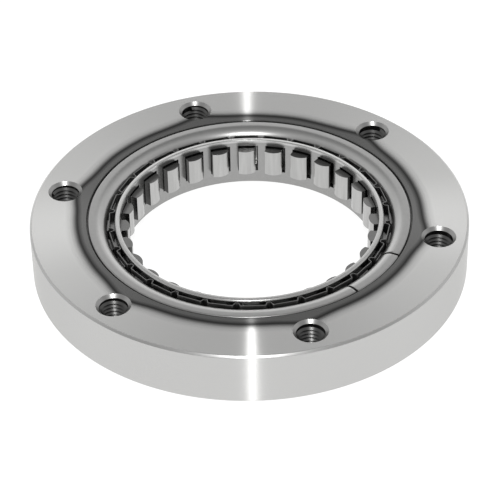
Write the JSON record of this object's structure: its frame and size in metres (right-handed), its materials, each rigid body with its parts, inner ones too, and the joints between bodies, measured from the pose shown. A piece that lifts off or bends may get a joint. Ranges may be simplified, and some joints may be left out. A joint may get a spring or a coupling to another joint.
{
  "type": "sprag clutch",
  "caption": "One-way clutch: a steel race ring with tapped holes around a double-caged unit of cam-shaped sprags and a folded ribbon spring.",
  "frame": {"origin": "centre of the ring's bottom face, on the clutch's axis", "axes": "+Z along the clutch's axis, out of the face that shows the cage flange; +X through the middle of a bolt hole"},
  "size_m": [0.125, 0.125, 0.016],
  "materials": {
    "ring_steel": "turned, with a dark heat tint around the cage",
    "outer_cage_steel": "pressed sheet, satin",
    "inner_cage_steel": "pressed sheet, satin",
    "spring_steel": "rolled spring strip",
    "sprag_steel": "tumbled and ground"
  },
  "bodies": {
    "outer_ring": {"outer_ring": "ring_steel"},
    "outer_cage": {"outer_cage": "outer_cage_steel"},
    "inner_cage": {"inner_cage": "inner_cage_steel"},
    "ribbon_spring": {"ribbon_spring": "spring_steel"},
    "sprag_01": {"sprag_01": "sprag_steel"},
    "sprag_02": {"sprag_02": "sprag_steel"},
    "sprag_03": {"sprag_03": "sprag_steel"},
    "sprag_04": {"sprag_04": "sprag_steel"},
    "sprag_05": {"sprag_05": "sprag_steel"},
    "sprag_06": {"sprag_06": "sprag_steel"},
    "sprag_07": {"sprag_07": "sprag_steel"},
    "sprag_08": {"sprag_08": "sprag_steel"},
    "sprag_09": {"sprag_09": "sprag_steel"},
    "sprag_10": {"sprag_10": "sprag_steel"},
    "sprag_11": {"sprag_11": "sprag_steel"},
    "sprag_12": {"sprag_12": "sprag_steel"},
    "sprag_13": {"sprag_13": "sprag_steel"},
    "sprag_14": {"sprag_14": "sprag_steel"},
    "sprag_15": {"sprag_15": "sprag_steel"},
    "sprag_16": {"sprag_16": "sprag_steel"},
    "sprag_17": {"sprag_17": "sprag_steel"},
    "sprag_18": {"sprag_18": "sprag_steel"},
    "sprag_19": {"sprag_19": "sprag_steel"},
    "sprag_20": {"sprag_20": "sprag_steel"},
    "sprag_21": {"sprag_21": "sprag_steel"},
    "sprag_22": {"sprag_22": "sprag_steel"},
    "sprag_23": {"sprag_23": "sprag_steel"},
    "sprag_24": {"sprag_24": "sprag_steel"},
    "sprag_25": {"sprag_25": "sprag_steel"},
    "sprag_26": {"sprag_26": "sprag_steel"},
    "sprag_27": {"sprag_27": "sprag_steel"},
    "sprag_28": {"sprag_28": "sprag_steel"}
  },
  "joints": [
    {"name": "cage_spin", "type": "hinge", "parent": "outer_ring", "child": "outer_cage", "pos_m": [0, 0, 0.008], "axis": [0, 0, 1], "continuous": true},
    {"name": "inner_cage_phase", "type": "hinge", "parent": "outer_cage", "child": "inner_cage", "pos_m": [0, 0, 0.008], "axis": [0, 0, 1], "range_deg": [0, 1.5], "stiffness_Nm_per_rad": 0.5},
    {"name": "ribbon_phase", "type": "hinge", "parent": "outer_cage", "child": "ribbon_spring", "pos_m": [0, 0, 0.008], "axis": [0, 0, 1], "range_deg": [0, 0.75]},
    {"name": "sprag_01_tilt", "type": "hinge", "parent": "outer_cage", "child": "sprag_01", "pos_m": [0.04099, 0.00061, 0.0089], "axis": [0, 0, 1], "range_deg": [-12, 0]},
    {"name": "sprag_02_tilt", "type": "hinge", "parent": "outer_cage", "child": "sprag_02", "pos_m": [0.03983, 0.00971, 0.0089], "axis": [0, 0, 1], "range_deg": [-12, 0]},
    {"name": "sprag_03_tilt", "type": "hinge", "parent": "outer_cage", "child": "sprag_03", "pos_m": [0.03667, 0.01834, 0.0089], "axis": [0, 0, 1], "range_deg": [-12, 0]},
    {"name": "sprag_04_tilt", "type": "hinge", "parent": "outer_cage", "child": "sprag_04", "pos_m": [0.03167, 0.02604, 0.0089], "axis": [0, 0, 1], "range_deg": [-12, 0]},
    {"name": "sprag_05_tilt", "type": "hinge", "parent": "outer_cage", "child": "sprag_05", "pos_m": [0.02508, 0.03243, 0.0089], "axis": [0, 0, 1], "range_deg": [-12, 0]},
    {"name": "sprag_06_tilt", "type": "hinge", "parent": "outer_cage", "child": "sprag_06", "pos_m": [0.01724, 0.0372, 0.0089], "axis": [0, 0, 1], "range_deg": [-12, 0]},
    {"name": "sprag_07_tilt", "type": "hinge", "parent": "outer_cage", "child": "sprag_07", "pos_m": [0.00853, 0.0401, 0.0089], "axis": [0, 0, 1], "range_deg": [-12, 0]},
    {"name": "sprag_08_tilt", "type": "hinge", "parent": "outer_cage", "child": "sprag_08", "pos_m": [-0.00061, 0.04099, 0.0089], "axis": [0, 0, 1], "range_deg": [-12, 0]},
    {"name": "sprag_09_tilt", "type": "hinge", "parent": "outer_cage", "child": "sprag_09", "pos_m": [-0.00971, 0.03983, 0.0089], "axis": [0, 0, 1], "range_deg": [-12, 0]},
    {"name": "sprag_10_tilt", "type": "hinge", "parent": "outer_cage", "child": "sprag_10", "pos_m": [-0.01834, 0.03667, 0.0089], "axis": [0, 0, 1], "range_deg": [-12, 0]},
    {"name": "sprag_11_tilt", "type": "hinge", "parent": "outer_cage", "child": "sprag_11", "pos_m": [-0.02604, 0.03167, 0.0089], "axis": [0, 0, 1], "range_deg": [-12, 0]},
    {"name": "sprag_12_tilt", "type": "hinge", "parent": "outer_cage", "child": "sprag_12", "pos_m": [-0.03243, 0.02508, 0.0089], "axis": [0, 0, 1], "range_deg": [-12, 0]},
    {"name": "sprag_13_tilt", "type": "hinge", "parent": "outer_cage", "child": "sprag_13", "pos_m": [-0.0372, 0.01724, 0.0089], "axis": [0, 0, 1], "range_deg": [-12, 0]},
    {"name": "sprag_14_tilt", "type": "hinge", "parent": "outer_cage", "child": "sprag_14", "pos_m": [-0.0401, 0.00853, 0.0089], "axis": [0, 0, 1], "range_deg": [-12, 0]},
    {"name": "sprag_15_tilt", "type": "hinge", "parent": "outer_cage", "child": "sprag_15", "pos_m": [-0.04099, -0.00061, 0.0089], "axis": [0, 0, 1], "range_deg": [-12, 0]},
    {"name": "sprag_16_tilt", "type": "hinge", "parent": "outer_cage", "child": "sprag_16", "pos_m": [-0.03983, -0.00971, 0.0089], "axis": [0, 0, 1], "range_deg": [-12, 0]},
    {"name": "sprag_17_tilt", "type": "hinge", "parent": "outer_cage", "child": "sprag_17", "pos_m": [-0.03667, -0.01834, 0.0089], "axis": [0, 0, 1], "range_deg": [-12, 0]},
    {"name": "sprag_18_tilt", "type": "hinge", "parent": "outer_cage", "child": "sprag_18", "pos_m": [-0.03167, -0.02604, 0.0089], "axis": [0, 0, 1], "range_deg": [-12, 0]},
    {"name": "sprag_19_tilt", "type": "hinge", "parent": "outer_cage", "child": "sprag_19", "pos_m": [-0.02508, -0.03243, 0.0089], "axis": [0, 0, 1], "range_deg": [-12, 0]},
    {"name": "sprag_20_tilt", "type": "hinge", "parent": "outer_cage", "child": "sprag_20", "pos_m": [-0.01724, -0.0372, 0.0089], "axis": [0, 0, 1], "range_deg": [-12, 0]},
    {"name": "sprag_21_tilt", "type": "hinge", "parent": "outer_cage", "child": "sprag_21", "pos_m": [-0.00853, -0.0401, 0.0089], "axis": [0, 0, 1], "range_deg": [-12, 0]},
    {"name": "sprag_22_tilt", "type": "hinge", "parent": "outer_cage", "child": "sprag_22", "pos_m": [0.00061, -0.04099, 0.0089], "axis": [0, 0, 1], "range_deg": [-12, 0]},
    {"name": "sprag_23_tilt", "type": "hinge", "parent": "outer_cage", "child": "sprag_23", "pos_m": [0.00971, -0.03983, 0.0089], "axis": [0, 0, 1], "range_deg": [-12, 0]},
    {"name": "sprag_24_tilt", "type": "hinge", "parent": "outer_cage", "child": "sprag_24", "pos_m": [0.01834, -0.03667, 0.0089], "axis": [0, 0, 1], "range_deg": [-12, 0]},
    {"name": "sprag_25_tilt", "type": "hinge", "parent": "outer_cage", "child": "sprag_25", "pos_m": [0.02604, -0.03167, 0.0089], "axis": [0, 0, 1], "range_deg": [-12, 0]},
    {"name": "sprag_26_tilt", "type": "hinge", "parent": "outer_cage", "child": "sprag_26", "pos_m": [0.03243, -0.02508, 0.0089], "axis": [0, 0, 1], "range_deg": [-12, 0]},
    {"name": "sprag_27_tilt", "type": "hinge", "parent": "outer_cage", "child": "sprag_27", "pos_m": [0.0372, -0.01724, 0.0089], "axis": [0, 0, 1], "range_deg": [-12, 0]},
    {"name": "sprag_28_tilt", "type": "hinge", "parent": "outer_cage", "child": "sprag_28", "pos_m": [0.0401, -0.00853, 0.0089], "axis": [0, 0, 1], "range_deg": [-12, 0]}
  ],
  "couplings": [
    {"joint": "ribbon_phase", "follows": "inner_cage_phase", "ratio": 0.5},
    {"joint": "sprag_01_tilt", "follows": "inner_cage_phase", "ratio": -8},
    {"joint": "sprag_02_tilt", "follows": "inner_cage_phase", "ratio": -8},
    {"joint": "sprag_03_tilt", "follows": "inner_cage_phase", "ratio": -8},
    {"joint": "sprag_04_tilt", "follows": "inner_cage_phase", "ratio": -8},
    {"joint": "sprag_05_tilt", "follows": "inner_cage_phase", "ratio": -8},
    {"joint": "sprag_06_tilt", "follows": "inner_cage_phase", "ratio": -8},
    {"joint": "sprag_07_tilt", "follows": "inner_cage_phase", "ratio": -8},
    {"joint": "sprag_08_tilt", "follows": "inner_cage_phase", "ratio": -8},
    {"joint": "sprag_09_tilt", "follows": "inner_cage_phase", "ratio": -8},
    {"joint": "sprag_10_tilt", "follows": "inner_cage_phase", "ratio": -8},
    {"joint": "sprag_11_tilt", "follows": "inner_cage_phase", "ratio": -8},
    {"joint": "sprag_12_tilt", "follows": "inner_cage_phase", "ratio": -8},
    {"joint": "sprag_13_tilt", "follows": "inner_cage_phase", "ratio": -8},
    {"joint": "sprag_14_tilt", "follows": "inner_cage_phase", "ratio": -8},
    {"joint": "sprag_15_tilt", "follows": "inner_cage_phase", "ratio": -8},
    {"joint": "sprag_16_tilt", "follows": "inner_cage_phase", "ratio": -8},
    {"joint": "sprag_17_tilt", "follows": "inner_cage_phase", "ratio": -8},
    {"joint": "sprag_18_tilt", "follows": "inner_cage_phase", "ratio": -8},
    {"joint": "sprag_19_tilt", "follows": "inner_cage_phase", "ratio": -8},
    {"joint": "sprag_20_tilt", "follows": "inner_cage_phase", "ratio": -8},
    {"joint": "sprag_21_tilt", "follows": "inner_cage_phase", "ratio": -8},
    {"joint": "sprag_22_tilt", "follows": "inner_cage_phase", "ratio": -8},
    {"joint": "sprag_23_tilt", "follows": "inner_cage_phase", "ratio": -8},
    {"joint": "sprag_24_tilt", "follows": "inner_cage_phase", "ratio": -8},
    {"joint": "sprag_25_tilt", "follows": "inner_cage_phase", "ratio": -8},
    {"joint": "sprag_26_tilt", "follows": "inner_cage_phase", "ratio": -8},
    {"joint": "sprag_27_tilt", "follows": "inner_cage_phase", "ratio": -8},
    {"joint": "sprag_28_tilt", "follows": "inner_cage_phase", "ratio": -8}
  ]
}
